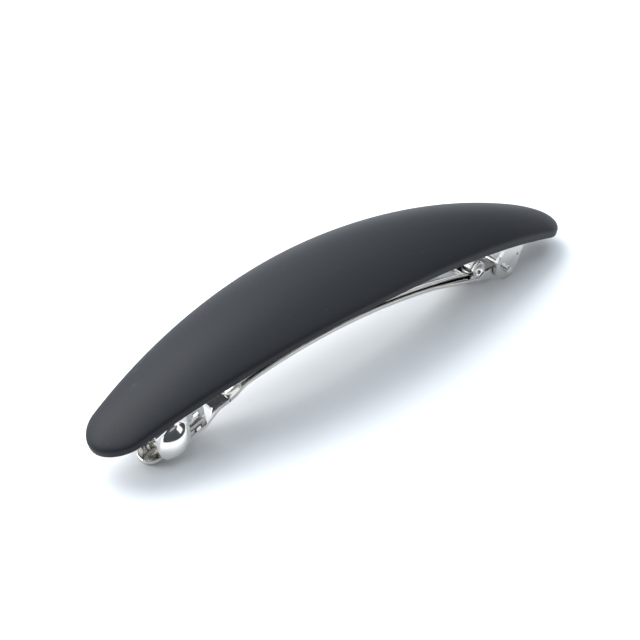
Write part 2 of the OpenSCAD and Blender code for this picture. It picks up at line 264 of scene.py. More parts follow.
def sheet(path, side, normal, half_w, thickness, relief=None, steps=12, edge=STAMPED_EDGE):
    """A strip of sheet carried along a path: each section point lies at the path's point, plus its
    place across times the side vector, plus its height times the normal. The path's ends are
    rounded edges. Relief gives a height that is added at each station and place across."""
    share, extra, height = sheet_section(thickness, edge, steps)
    across = share * (half_w[:, None] - edge) + extra * edge
    rows = np.arange(len(path))
    lift = np.broadcast_to(height, across.shape)
    stamped = 0 * across if relief is None else relief(rows[:, None], across)
    side = np.broadcast_to(side, path.shape)
    normal = np.broadcast_to(normal, path.shape)

    def ring(rows, shift, shrink):
        y = across[rows] * (1.0 - shrink / np.maximum(half_w[rows], edge))[:, None]
        h = lift[rows] * (1.0 - 2.0 * shrink / thickness) + stamped[rows]
        sideways = y[..., None] * side[rows][:, None]
        upwards = h[..., None] * normal[rows][:, None]
        return (path[rows] + shift)[:, None] + sideways + upwards

    start, end = unit(path[0] - path[1]), unit(path[-1] - path[-2])
    turns = quarter_turn(EDGE_STEPS)[1:]
    low = [ring(rows[:1], start * edge * math.sin(q), edge * (1 - math.cos(q))) for q in turns[::-1]]
    high = [ring(rows[-1:], end * edge * math.sin(q), edge * (1 - math.cos(q))) for q in turns]
    return closed_patch(np.concatenate(low + [ring(rows, 0.0, 0.0)] + high), caps=True)


PARALLEL = 1e-12          # smallest cross product that counts as a crossing
TOUCH = 1e-9              # how far past an edge's end a ray still meets it
SAME_DIR = 1e-4           # directions closer than this are one
CIRCLE_STEPS = 96


def reach(outline, angles):
    """Distance from the origin to an outline along each direction: for a ray and an edge, the cross
    product of the edge's start and its run over that of the direction and its run."""
    run = np.roll(outline, -1, 0) - outline
    ray = np.stack([np.cos(angles), np.sin(angles)], -1)[:, None]
    turn = ray[..., 0] * run[:, 1] - ray[..., 1] * run[:, 0]
    turn = np.where(np.abs(turn) < PARALLEL, PARALLEL, turn)
    far = (outline[:, 0] * run[:, 1] - outline[:, 1] * run[:, 0]) / turn
    place = (outline[:, 0] * ray[..., 1] - outline[:, 1] * ray[..., 0]) / turn
    on_edge = (place > -TOUCH) & (place < 1 + TOUCH) & (far > 0)
    return np.where(on_edge, far, 0.0).max(1)


def directions(outlines, steps=120):
    """Directions round a plate, evenly spaced, with the corners of all but its circles among them."""
    even = np.linspace(-math.pi, math.pi, steps, endpoint=False)
    corners = [np.arctan2(o[:, 1], o[:, 0]) for o in outlines if len(o) < CIRCLE_STEPS]
    every = np.sort(np.concatenate([even] + corners))
    return every[np.concatenate([[True], np.diff(every) > SAME_DIR])]


def circle(radius, centre=(0.0, 0.0)):
    """Outline of a circle as evenly spaced points."""
    turn = np.linspace(0.0, 2 * math.pi, CIRCLE_STEPS, endpoint=False)
    return np.stack([centre[0] + radius * np.cos(turn), centre[1] + radius * np.sin(turn)], -1)


def plate(outlines, hole, place, thickness, relief=None, steps=10, edge=STAMPED_EDGE):
    """A flat plate seen from a point inside it: along each direction it runs from the hole's edge,
    or from the middle where it has no hole, to the farthest outline, with rounded edges. Place
    turns the two flat coordinates and the height into a point."""
    angles = directions(outlines if hole is None else outlines + [hole])
    ray = np.stack([np.cos(angles), np.sin(angles)], -1)
    far = np.max([reach(o, angles) for o in outlines], 0)
    share, extra, height = sheet_section(thickness, edge, steps)
    if hole is None:
        outer = share > TOUCH
        order = np.concatenate([
            np.flatnonzero(outer & (height < 0)), np.flatnonzero(outer & (height > 0))])
        share = np.concatenate([[0.0], share[order], [0.0]])
        extra = np.concatenate([[0.0], extra[order], [0.0]])
        height = np.concatenate([[-thickness / 2], height[order], [thickness / 2]])
        span = share * (far[:, None] - edge) + extra * edge
    else:
        near = reach(hole, angles)
        middle, half = (far + near) / 2, (far - near) / 2
        span = middle[:, None] + share * (half[:, None] - edge) + extra * edge
    u = span * ray[:, :1]
    v = span * ray[:, 1:]
    h = np.broadcast_to(height, span.shape)
    if relief is not None:
        h = h + relief(u, v)
    grid = place(u, v, h)
    if hole is None:
        return closed_patch(np.swapaxes(grid, 0, 1), caps=True)
    return closed_patch(grid, round_u=True)


SLANTED = (0.3, 0.5, 0.8)  # any direction that no turned part lies along


def turned(profile, centre, axis, steps=64):
    """A turned part: a profile of distances along the axis and radii, carried round the axis."""
    axis = np.asarray(axis, float)
    first = unit(np.cross(axis, SLANTED))
    second = np.cross(axis, first)
    turn = np.linspace(0.0, 2 * math.pi, steps, endpoint=False)[None, :, None]
    radius = profile[:, 1][:, None, None]
    place = profile[:, 0][:, None, None] * axis
    spoke = np.cos(turn) * first + np.sin(turn) * second
    return closed_patch(centre + place + radius * spoke, caps=True)


# ---------------------------------------------------------------- node groups
def node_group(name, inputs, outputs):
    """An empty shader group with the named sockets, and its input and output nodes."""
    group = bpy.data.node_groups.new(name, "ShaderNodeTree")
    for label, kind, value in inputs:
        socket = group.interface.new_socket(label, in_out="INPUT", socket_type=kind)
        if value is not None:
            socket.default_value = value
    for label, kind in outputs:
        group.interface.new_socket(label, in_out="OUTPUT", socket_type=kind)
    return group, group.nodes.new("NodeGroupInput"), group.nodes.new("NodeGroupOutput")


def add_node(tree, kind, links=(), **settings):
    """A node with its settings, and its inputs joined to sockets or set to values."""
    node = tree.nodes.new(kind)
    for key, value in settings.items():
        setattr(node, key, value)
    for key, value in dict(links).items():
        if isinstance(value, bpy.types.NodeSocket):
            tree.links.new(value, node.inputs[key])
        else:
            node.inputs[key].default_value = value
    return node


def math_node(tree, operation, first, second=0.0):
    """A Math node's result."""
    return add_node(tree, "ShaderNodeMath", {0: first, 1: second}, operation=operation).outputs[0]


def grain_group():
    """Fine moulded grain: broad noise and small cells, mixed by how coarse it is."""
    tree, given, out = node_group(
        "moulded_grain",
        [("Vector", "NodeSocketVector", None), ("Scale", "NodeSocketFloat", 1000.0),
         ("Coarse Scale", "NodeSocketFloat", 60.0)],
        [("Grain", "NodeSocketFloat"), ("Patches", "NodeSocketFloat")])
    cells = add_node(tree, "ShaderNodeTexVoronoi", {
        "Vector": given.outputs["Vector"], "Scale": given.outputs["Scale"]}, feature="SMOOTH_F1")
    fine = add_node(tree, "ShaderNodeTexNoise", {
        "Vector": given.outputs["Vector"], "Scale": given.outputs["Scale"], "Detail": 4.0})
    broad = add_node(tree, "ShaderNodeTexNoise", {
        "Vector": given.outputs["Vector"], "Scale": given.outputs["Coarse Scale"], "Detail": 3.0})
    half = math_node(tree, "MULTIPLY", cells.outputs["Distance"], 0.5)
    tree.links.new(math_node(tree, "ADD", half, fine.outputs["Fac"]), out.inputs["Grain"])
    tree.links.new(broad.outputs["Fac"], out.inputs["Patches"])
    return tree


def edge_group():
    """Wear along edges: where the surface turns sharply, broken up by noise."""
    tree, given, out = node_group(
        "edge_wear",
        [("Vector", "NodeSocketVector", None), ("Threshold", "NodeSocketFloat", 0.53),
         ("Softness", "NodeSocketFloat", 0.06), ("Breakup Scale", "NodeSocketFloat", 600.0)],
        [("Mask", "NodeSocketFloat")])
    shape = add_node(tree, "ShaderNodeNewGeometry")
    noise = add_node(tree, "ShaderNodeTexNoise", {
        "Vector": given.outputs["Vector"], "Scale": given.outputs["Breakup Scale"], "Detail": 5.0})
    top = math_node(tree, "ADD", given.outputs["Threshold"], given.outputs["Softness"])
    ramp = add_node(tree, "ShaderNodeMapRange", {
        "Value": shape.outputs["Pointiness"], "From Min": given.outputs["Threshold"], "From Max": top})
    worn = math_node(tree, "MULTIPLY", ramp.outputs["Result"], noise.outputs["Fac"])
    tree.links.new(worn, out.inputs["Mask"])
    return tree


def scratch_group():
    """Hairline polishing marks: noise drawn out along one direction, kept where it is highest."""
    tree, given, out = node_group(
        "polishing_marks",
        [("Vector", "NodeSocketVector", None), ("Scale", "NodeSocketFloat", 900.0),
         ("Length", "NodeSocketFloat", 0.06)],
        [("Marks", "NodeSocketFloat"), ("Haze", "NodeSocketFloat")])
    drawn = add_node(tree, "ShaderNodeCombineXYZ", {"X": given.outputs["Length"], "Y": 1.0, "Z": 1.0})
    stretched = add_node(tree, "ShaderNodeVectorMath", {
        0: given.outputs["Vector"], 1: drawn.outputs[0]}, operation="MULTIPLY")
    lines = add_node(tree, "ShaderNodeTexNoise", {
        "Vector": stretched.outputs[0], "Scale": given.outputs["Scale"],
        "Detail": 6.0, "Roughness": 0.7})
    haze = add_node(tree, "ShaderNodeTexNoise", {
        "Vector": given.outputs["Vector"], "Scale": 150.0, "Detail": 4.0})
    kept = add_node(tree, "ShaderNodeMapRange", {
        "Value": lines.outputs["Fac"], "From Min": 0.56, "From Max": 0.72})
    tree.links.new(kept.outputs["Result"], out.inputs["Marks"])
    tree.links.new(haze.outputs["Fac"], out.inputs["Haze"])
    return tree


def dust_group():
    """Faint settled dust: scattered specks that lie where the surface faces up."""
    tree, given, out = node_group(
        "settled_dust",
        [("Vector", "NodeSocketVector", None), ("Scale", "NodeSocketFloat", 500.0),
         ("Amount", "NodeSocketFloat", 0.1)],
        [("Mask", "NodeSocketFloat")])
    shape = add_node(tree, "ShaderNodeNewGeometry")
    facing = add_node(tree, "ShaderNodeSeparateXYZ", {"Vector": shape.outputs["Normal"]})
    up = math_node(tree, "MAXIMUM", facing.outputs["Z"], 0.0)
    specks = add_node(tree, "ShaderNodeTexNoise", {
        "Vector": given.outputs["Vector"], "Scale": given.outputs["Scale"],
        "Detail": 8.0, "Roughness": 0.8})
    kept = add_node(tree, "ShaderNodeMapRange", {
        "Value": specks.outputs["Fac"], "From Min": 0.6, "From Max": 0.8})
    amount = math_node(tree, "MULTIPLY", kept.outputs["Result"], given.outputs["Amount"])
    tree.links.new(math_node(tree, "MULTIPLY", amount, up), out.inputs["Mask"])
    return tree


GRAIN, EDGES, MARKS, DUST = grain_group(), edge_group(), scratch_group(), dust_group()


def start_material(name, roughness, metallic=0.0, specular=0.5):
    """A material with its shader's constant values, and the Object coordinates."""
    material = bpy.data.materials.new(name)
    material.use_nodes = True
    shader = material.node_tree.nodes["Principled BSDF"]
    shader.inputs["Roughness"].default_value = roughness
    shader.inputs["Metallic"].default_value = metallic
    shader.inputs["Specular IOR Level"].default_value = specular
    places = material.node_tree.nodes.new("ShaderNodeTexCoord").outputs["Object"]
    return material, material.node_tree, shader, places


def use_group(tree, group, places, **values):
    """A group placed in a material with its own values."""
    node = tree.nodes.new("ShaderNodeGroup")
    node.node_tree = group
    tree.links.new(places, node.inputs["Vector"])
    for label, value in values.items():
        node.inputs[label.replace("_", " ")].default_value = value
    return node.outputs


def ranged(tree, value, low, high):
    """A value from 0 to 1 carried to a range."""
    node = add_node(tree, "ShaderNodeMapRange", {"Value": value, "To Min": low, "To Max": high})
    return node.outputs["Result"]


def mixed(tree, factor, first, second):
    """Two colours mixed by a factor; each is a socket or a plain colour."""
    node = add_node(tree, "ShaderNodeMix", {"Factor": factor}, data_type="RGBA")
    colour_a, colour_b, result = node.inputs[6], node.inputs[7], node.outputs[2]
    for socket, value in ((colour_a, first), (colour_b, second)):
        if isinstance(value, bpy.types.NodeSocket):
            tree.links.new(value, socket)
        else:
            socket.default_value = (*value, 1.0)
    return result


def raised(tree, shader, height, distance, strength):
    """A bump of a real height in metres, on the shader's normal."""
    bump = add_node(tree, "ShaderNodeBump", {
        "Height": height, "Distance": distance, "Strength": strength})
    tree.links.new(bump.outputs["Normal"], shader.inputs["Normal"])


def soft_touch():
    """Matt black lacquer: charcoal with faint patches, a fine grain, worn at the rim, a little dust."""
    material, tree, shader, places = start_material("soft_touch_black", 0.5, specular=0.27)
    grain = use_group(tree, GRAIN, places, Scale=2600.0, Coarse_Scale=70.0)
    edges = use_group(tree, EDGES, places, Threshold=0.55, Softness=0.1, Breakup_Scale=900.0)
    dust = use_group(tree, DUST, places, Scale=900.0, Amount=0.12)
    base = mixed(tree, grain["Patches"], (0.0085, 0.0095, 0.0125), (0.011, 0.0125, 0.016))
    worn = mixed(tree, math_node(tree, "MULTIPLY", edges["Mask"], 0.35), base, (0.055, 0.06, 0.07))
    dusty = mixed(tree, dust["Mask"], worn, (0.3, 0.31, 0.33))
    tree.links.new(dusty, shader.inputs["Base Color"])
    rough = ranged(tree, grain["Patches"], 0.47, 0.55)
    rubbed = math_node(tree, "MULTIPLY", edges["Mask"], 0.1)
    tree.links.new(math_node(tree, "SUBTRACT", rough, rubbed), shader.inputs["Roughness"])
    raised(tree, shader, grain["Grain"], 0.00002, 0.35)
    return material


HAZE_TINT = (0.93, 0.91, 0.88)


def nickel(name, tone, roughness, marks_length):
    """Bright nickel plate: nearly neutral, with hairline marks, a faint haze and rubbed edges."""
    material, tree, shader, places = start_material(name, roughness, metallic=1.0)
    marks = use_group(tree, MARKS, places, Scale=1500.0, Length=marks_length)
    edges = use_group(tree, EDGES, places, Threshold=0.54, Softness=0.08, Breakup_Scale=500.0)
    warm = tuple(c * f for c, f in zip(tone, HAZE_TINT))
    plate_tone = mixed(tree, marks["Haze"], tone, warm)
    bright = tuple(min(c * 1.06, 1.0) for c in tone)
    tree.links.new(mixed(tree, edges["Mask"], plate_tone, bright), shader.inputs["Base Color"])
    hazy = ranged(tree, marks["Haze"], roughness * 0.8, roughness * 1.3)
    scratched = math_node(tree, "MULTIPLY", marks["Marks"], 0.05)
    tree.links.new(math_node(tree, "ADD", hazy, scratched), shader.inputs["Roughness"])
    raised(tree, shader, marks["Marks"], 0.000002, 0.04)
    return material


def glue():
    """Cured adhesive: cloudy cream with small bubbles."""
    material, tree, shader, places = start_material("cured_adhesive", 0.45)
    grain = use_group(tree, GRAIN, places, Scale=700.0, Coarse_Scale=220.0)
    cloudy = mixed(tree, grain["Patches"], (0.52, 0.49, 0.4), (0.68, 0.66, 0.58))
    tree.links.new(cloudy, shader.inputs["Base Color"])
    tree.links.new(ranged(tree, grain["Grain"], 0.35, 0.6), shader.inputs["Roughness"])
    raised(tree, shader, grain["Grain"], 0.00005, 0.5)
    return material


BLACK = soft_touch()
BRIGHT = nickel("nickel_bright", (0.83, 0.825, 0.81), 0.09, 0.05)
SPRING = nickel("nickel_spring", (0.79, 0.785, 0.77), 0.13, 0.03)
PLATE = nickel("nickel_plate", (0.76, 0.755, 0.74), 0.16, 0.04)
PIN = nickel("nickel_turned", (0.8, 0.795, 0.78), 0.12, 1.0)
GLUE = glue()


# ---------------------------------------------------------------- cover
RIM_SHARE = 0.38          # height of the widest line, as a share of the edge's thickness
UPPER_ROUND = 0.42        # powers of the rounding above and below the widest line
LOWER_ROUND = 0.5
PLAN_STEPS = 200
TOP_RINGS = 64
UNDER_RINGS = 26
RING_SPREAD = 1.3         # power that draws the rings above towards the rim


def cover_surface():
    """The cover. Each point of its outline runs in to a point of a spine that stops short of the
    tips. At a cosine of an angle of that way, the height is the widest line's plus the rest of the
    crown times the angle's sine to a power; below, the widest line's times one less such a power.
    The crown falls with the square of the length and as a circle across the width."""
    share = -np.cos(math.pi * np.arange(PLAN_STEPS + 1) / PLAN_STEPS)
    side_end = HALF_LENGTH - TIP_LENGTH
    s = share * HALF_LENGTH
    swell = np.abs(s) / side_end
    round_share = np.clip(np.abs(s) - side_end, 0.0, None) / TIP_LENGTH
    width = COVER_WIDTH / 2 - (COVER_WIDTH - TIP_WIDTH) / 2 * swell ** SIDE_CURVE
    width = width * np.sqrt(np.clip(1 - round_share ** 2, 0, None))
    outline = np.concatenate([np.stack([s, -width], -1), np.stack([s, width], -1)[-2:0:-1]])
    spine = np.stack([outline[:, 0] * side_end / HALF_LENGTH, 0 * outline[:, 1]], -1)

    def crown(points):
        fall = (points[..., 0] / HALF_LENGTH) ** 2
        middle = COVER_T - (COVER_T - TIP_T) * fall
        return middle - (CROWN_R - np.sqrt(CROWN_R ** 2 - points[..., 1] ** 2))

    widest = RIM_SHARE * crown(outline)
    under = np.linspace(math.pi / 2, 0.0, UNDER_RINGS)[:-1, None]
    over = np.linspace(0.0, 1.0, TOP_RINGS)[:, None] ** RING_SPREAD * math.pi / 2
    under_points = spine + (outline - spine) * np.cos(under)[..., None]
    over_points = spine + (outline - spine) * np.cos(over)[..., None]
    under_height = widest * (1 - np.sin(under) ** LOWER_ROUND)
    over_height = widest + (crown(over_points) - widest) * np.sin(over) ** UPPER_ROUND
    points = np.concatenate([under_points, over_points])
    height = np.concatenate([under_height, over_height])
    grid = at_angle(COVER_TILT + points[..., 0] / ARCH_R, ARCH_R + height, points[..., 1])
    return closed_patch(grid)


# ---------------------------------------------------------------- closing arm
TAB_CENTRE_X = TAB_R - TAB_REACH
LIP_H = 0.3               # lip pressed into the thumb tab: its height, radius and width
LIP_R = 2.1
LIP_W = 0.3
CREASE_H = 0.2            # creases pressed over the step, and the trough between them
TROUGH_H = 0.18
DIMPLE_H = 0.46           # dimple of each cheek, and its radius
DIMPLE_R = 1.15


def level_place(x0, level):
    """A place function for a plate that is bent to a level: u runs along X from an origin, v across,
    and the height adds to the level."""
    return lambda u, v, h: at_x(x0 + u, level + h, v)


def tab_relief(x0):
    """Arc-shaped lip pressed across the thumb tab's root: a bell curve of the distance from an arc
    about the tab's centre, faded out on the far side of the tab."""
    centre = TAB_CENTRE_X - x0

    def height(u, v):
        lip = LIP_H * np.exp(-((np.hypot(u - centre, v) - LIP_R) / LIP_W) ** 2)
        return lip * ease((u - centre) / 0.8) * ease((2.9 - np.abs(v)) / 0.6)
    return height


def window_frame():
    """The frame as a plate bent to its level, seen from inside the window: the outer outlines are
    the rails with the neck, and the round tab."""
    x0 = (WINDOW_FROM_X + WINDOW_TO_X) / 2 - 0.6
    shoulder = WINDOW_TO_X + 1.0
    half = [
        [NECK_X, NECK_W / 2], [shoulder, NECK_W / 2], [shoulder - STEP_RUN, FRAME_W / 2],
        [WINDOW_FROM_X, FRAME_W / 2], [TAB_CENTRE_X, TAB_R]]
    rail_in = FRAME_W / 2 - RAIL_W
    inner = [
        [WINDOW_TO_X, rail_in / 2], [WINDOW_TO_X - WINDOW_TAPER, rail_in], [WINDOW_FROM_X, rail_in]]

    def both(points):
        upper = np.array(points) - [x0, 0.0]
        return np.concatenate([upper, (upper * [1.0, -1.0])[::-1]])

    tab = circle(TAB_R, (TAB_CENTRE_X - x0, 0.0))
    place = level_place(x0, FRAME_LOW_R + ARM_T / 2)
    return plate([both(half), tab], both(inner), place, ARM_T, tab_relief(x0), steps=20)


def arm_strip():
    """The long strip: its level eases from the frame's up to its own over the step, its half width
    follows the neck, the strip and the wide hinge end. Two creases fan out over the step."""
    knee = 0.7
    x = np.concatenate([
        np.linspace(NECK_X - LAP, STEP_FROM_X + knee, 40),
        np.linspace(STEP_FROM_X + knee, STRIP_END_X, 110)[1:]])
    low, high = FRAME_LOW_R + ARM_T / 2, ARM_LOW_R + ARM_T / 2
    level = low + (high - low) * ease((x - NECK_X) / STEP_RUN)
    half_w = np.interp(
        x, [NECK_X, STEP_FROM_X, WIDEN_X - WIDEN_RUN, WIDEN_X],
        [NECK_W / 2, ARM_W / 2, ARM_W / 2, EYE_OUT_Y - WALL_INSET])
    path = at_x(x, level)
    normal = np.cross(unit(np.gradient(path, axis=0)), ACROSS)

    def creases(station, across):
        share = (x[station] - NECK_X) / STEP_RUN
        centre = 0.35 + 1.45 * np.clip(share, 0.0, 1.0)
        ridge = np.exp(-((np.abs(across) - centre) / 0.28) ** 2)
        trough = np.exp(-(across / 0.7) ** 2)
        fade = ease((share + 0.1) / 0.3) * ease((1.15 - share) / 0.4)
        return (CREASE_H * ridge - TROUGH_H * trough) * fade

    return sheet(path, ACROSS, normal, half_w, ARM_T, relief=creases, steps=24)


def side_place(origin, direction, y):
    """A place function for an upright plate: u runs along the arch and v away from its axis, from
    an origin at an angle, and the height runs across the clip, away from its middle."""
    forward, up = along(direction), outward(direction)
    sign = math.copysign(1.0, y)

    def place(u, v, h):
        in_plane = u[..., None] * forward + v[..., None] * up
        return origin + in_plane + (y + sign * h)[..., None] * ACROSS
    return place


def flat_outline(points, origin, direction):
    """Points of the X-Z plane as flat coordinates of an upright plate."""
    away = np.asarray(points) - origin
    return np.stack([away @ along(direction), away @ outward(direction)], -1)


def arm_eyes():
    """Two eyes, each a disc joined to the strip by its raised side wall, bored for the pin."""
    origin = at_angle(EAR_DIR, PIN_AXIS_R)
    foot = ARM_LOW_R + 0.02
    rise_r = ARM_LOW_R + ARM_T / 2 + EYE_RISE
    wall = [
        at_x(STRIP_END_X - EYE_R - WALL_RUN, foot), at_x(STRIP_END_X - EYE_R, rise_r),
        origin + [-EYE_R / 2, 0, EYE_R / 2], origin - [0, 0, EYE_R / 2], at_x(STRIP_END_X, foot)]
    outline = flat_outline(wall, origin, EAR_DIR)
    return [
        plate([circle(EYE_R), outline], circle(EYE_BORE_R),
              side_place(origin, EAR_DIR, side * (EYE_OUT_Y - EYE_T / 2)), EYE_T, steps=8)
        for side in (-1, 1)]


def cheeks():
    """Two cheeks that hold the bar's curl: a disc on a foot, pressed inwards in its middle. The
    dimple is a smooth step of the distance from its centre, as deep as the gap and the curl's wall."""
    origin = at_angle(CURL_DIR, CURL_AXIS_R)
    seat = ARM_LOW_R + ARM_T / 2
    foot = flat_outline([
        at_x(CURL_X - CHEEK_R - CHEEK_FOOT, seat), origin - [CHEEK_R / 2, 0, 0],
        origin + [CHEEK_R / 2, 0, 0], at_x(CURL_X + CHEEK_R + CHEEK_FOOT, seat)], origin, CURL_DIR)

    def dimple(u, v):
        return -DIMPLE_H * (1.0 - ease(np.hypot(u, v) / DIMPLE_R))

    return [
        plate([circle(CHEEK_R), foot], None,
              side_place(origin, CURL_DIR, side * (CHEEK_IN_Y + CHEEK_T / 2)), CHEEK_T, dimple, steps=28)
        for side in (-1, 1)]


# ---------------------------------------------------------------- tension bar
def bar_surface():
    """The bar: a strip along its level, round at its free end, that runs on into a curl of three
    quarters of a turn about the curl's axis."""
    free = BAR_REACH - BAR_W / 2
    level = BAR_LOW_R + BAR_T / 2
    tip_turn = np.linspace(math.asin(BAR_TIP_SHARE), math.pi / 2, 20)
    tip_x = -free - (BAR_W / 2) * np.cos(tip_turn)
    x = np.concatenate([tip_x, np.linspace(-free, CURL_X, 110)[1:]])
    curl = np.linspace(0.0, 1.5 * math.pi, 60)[1:, None]
    spoke = -outward(CURL_DIR) * np.cos(curl) + along(CURL_DIR) * np.sin(curl)
    centre = at_angle(CURL_DIR, CURL_AXIS_R)
    path = np.concatenate([at_x(x, level), centre + spoke * (CURL_R - BAR_T / 2)])
    normal = np.concatenate([outward(np.arcsin(x / level)), -spoke])
    half_w = np.full(len(path), BAR_W / 2)
    half_w[:len(tip_x)] *= np.sin(tip_turn)
    return sheet(path, ACROSS, normal, half_w, BAR_T)


# ---------------------------------------------------------------- clasp
DOME_BLEND = 0.02         # softness of the line round the pad's dome
JAW_BEND_R = 0.45         # middle of the sheet in the bend between wall and web
SHELF_SPREAD = math.radians(1.3)
BLADE_SLANT = 1.2


def jaw_dome(u, v):
    """Height of the finger pad over its wall: a sphere's height less the wall's, rounded off where
    they meet by the root of the square and a small constant."""
    out = PAD_SIDE - WALL_IN_Y - JAW_T
    rise = out + np.sqrt(np.clip(PAD_R ** 2 - u ** 2 - v ** 2, 0.0, None))
    return (rise + np.sqrt(rise ** 2 + DOME_BLEND)) / 2


def jaw_patches(side):
    """One jaw: the wall with its domed pad, the bend up to the root, the shelf and the prong."""
    forward, up = along(CLASP_DIR), outward(CLASP_DIR)
    axis_point = at_angle(CLASP_DIR, 0.0)
    wall_y = WALL_IN_Y + JAW_T / 2
    wall_disc_r = math.sqrt(PAD_R ** 2 - (WALL_IN_Y + JAW_T - PAD_SIDE) ** 2) + 0.15
    wall_top = ROOT_LEVEL_R - 0.6 - PAD_LEVEL
    half = JAW_LENGTH / 2
    upright = np.array([[-half, 0.0], [half, 0.0], [half, wall_top], [-half, wall_top]])
    pad_place = side_place(at_angle(CLASP_DIR, PAD_LEVEL), CLASP_DIR, side * wall_y)
    pad = plate([circle(wall_disc_r), upright], None, pad_place, JAW_T, jaw_dome, steps=72)

    turn = quarter_turn(14)
    bend_y, bend_level = wall_y - JAW_BEND_R, ROOT_LEVEL_R - JAW_BEND_R
    web_y = np.linspace(bend_y, ROOT_Y - 0.2, 6)[1:]
    y = np.concatenate([[wall_y], bend_y + JAW_BEND_R * np.cos(turn), web_y])
    level = np.concatenate([
        [ROOT_LEVEL_R - 1.3], bend_level + JAW_BEND_R * np.sin(turn), np.full(5, ROOT_LEVEL_R)])
    path = axis_point + level[:, None] * up + side * y[:, None] * ACROSS
    normal = np.cross(unit(np.gradient(path, axis=0)), forward)
    web = sheet(path, forward, normal, np.full(len(path), half), JAW_T)

    y = np.linspace(WALL_IN_Y + 0.1, PRONG_Y + JAW_T / 2, 8)
    path = axis_point + (SHELF_R + JAW_T / 2) * up + side * y[:, None] * ACROSS
    shelf = sheet(path, forward, up, np.full(len(y), SHELF_SPREAD * SHELF_R), JAW_T)

    slot_x = PRONG_TO_X - SLOT_MARGIN - SLOT_SIZE / 2
    slot_level = PRONG_LOW_R + SLOT_RISE + SLOT_SIZE / 2
    slot_dir = math.asin(slot_x / PRONG_LOW_R)
    x_from, x_to = PRONG_FROM_X - slot_x, PRONG_TO_X - slot_x
    low, high = PRONG_LOW_R - slot_level, SHELF_R + JAW_T - slot_level
    blade = np.array([
        [x_from, low], [x_to, low], [x_to, 3.2], [x_to - BLADE_SLANT, high], [x_from, high]])
    slot = SLOT_SIZE / 2 * np.array([[-1.0, -1.0], [1.0, -1.0], [1.0, 1.0], [-1.0, 1.0]])
    blade_place = side_place(at_angle(slot_dir, slot_level), slot_dir, side * (PRONG_Y + JAW_T / 2))
    prong = plate([blade], slot, blade_place, JAW_T, steps=8)

    angle = np.arcsin(np.linspace(PRONG_FROM_X, PRONG_TO_X, 12) / PRONG_LOW_R)
    hook_in, hook_out = PRONG_Y + 0.1, HOOK_Y
    path = at_angle(angle, PRONG_LOW_R + HOOK_H / 2, side * (hook_in + hook_out) / 2)
    hook_half = np.full(len(path), (hook_out - hook_in) / 2)
    hook = sheet(path, ACROSS, outward(angle), hook_half, HOOK_H)
    return [pad, web, shelf, prong, hook]


# ---------------------------------------------------------------- turned parts
def pin_patches():
    """The hinge pin with its ends rounded over."""
    turn = quarter_turn(8)
    round_r = 0.22
    straight = PIN_HALF - round_r
    end = np.stack([straight + round_r * np.sin(turn), PIN_R - round_r + round_r * np.cos(turn)], -1)
    body = np.linspace(-straight, straight, 24)
    profile = np.concatenate([
        end[::-1] * [-1.0, 1.0], np.stack([body, np.full(len(body), PIN_R)], -1)[1:-1], end])
    return [turned(profile, at_angle(EAR_DIR, PIN_AXIS_R), ACROSS)]


def rivet_patches():
    """Two rivets: a shank and a low domed head under the bridge."""
    patches = []
    bridge_low = BASE_LOW_R - JAW_T
    length, chamfer = BASE_TOP_R - bridge_low, 0.1
    turn = quarter_turn(14)[::-1]
    head = np.stack([-RIVET_HEAD_T * np.sin(turn) ** 0.8, RIVET_HEAD_R * np.cos(turn)], -1)
    shank = [[0.0, RIVET_R], [length - chamfer, RIVET_R], [length, RIVET_R - chamfer]]
    profile = np.concatenate([head, shank])
    for side in (-1, 1):
        angle = CLASP_DIR + side * RIVET_SPREAD / BASE_LOW_R
        patches.append(turned(profile, at_angle(angle, bridge_low), outward(angle), steps=40))
    return patches


# ---------------------------------------------------------------- stampings kept from the frame
def rounded_copy(name, node, body, material):
    """A copy of a frame node with its triangles merged into flat faces and its sharp edges rounded."""
    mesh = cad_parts[node].data.copy()
    mesh.name = name
    work = bmesh.new()
    work.from_mesh(mesh)
    bmesh.ops.remove_doubles(work, verts=work.verts, dist=0.0005 * MM)
    bmesh.ops.dissolve_degenerate(work, edges=work.edges, dist=0.0005 * MM)
    bmesh.ops.dissolve_limit(work, angle_limit=math.radians(0.1), verts=work.verts, edges=work.edges)
    for face in work.faces:
        face.smooth = True
    work.to_mesh(mesh)
    work.free()
    obj = bpy.data.objects.new(name, mesh)
    bpy.context.scene.collection.objects.link(obj)
    obj.data.materials.clear()
    obj.data.materials.append(material)
    bevel = obj.modifiers.new("rounded_edges", "BEVEL")
    bevel.width = KEPT_EDGE * MM
    bevel.segments = 2
    bevel.limit_method = "ANGLE"
    bevel.angle_limit = math.radians(30)
    bevel.face_strength_mode = "FSTR_ALL"
    even_normals(obj, by_strength=True)
    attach(obj, body)
    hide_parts(node)
    return obj


# ---------------------------------------------------------------- the pieces
piece("cover_shell", [cover_surface()], "clip", "cover", BLACK)
arm_patches = [window_frame(), arm_strip()] + arm_eyes() + cheeks()
for name, patches, body, node, material in (
        ("arm_stamping", arm_patches, "arm", "closing_arm", BRIGHT),
        ("bar_spring", [bar_surface()], "bow", "tension_bar", SPRING),
        ("near_jaw_stamping", jaw_patches(-1), "near_pinch", "near_jaw", BRIGHT),
        ("far_jaw_stamping", jaw_patches(1), "far_pinch", "far_jaw", BRIGHT),
        ("pin_turned", pin_patches(), "clip", "hinge_pin", PIN),
        ("rivets_domed", rivet_patches(), "clip", "clasp_rivets", PIN)):
    even_normals(piece(name, patches, body, node, material))
rounded_copy("plate_stamping", "base_plate", "clip", PLATE)
rounded_copy("bridge_stamping", "clasp_bridge", "clip", PLATE)
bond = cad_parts["bond"]
bond.data.materials.clear()
bond.data.materials.append(GLUE)


# ---------------------------------------------------------------- stage
WHITE = (0.9, 0.905, 0.91)


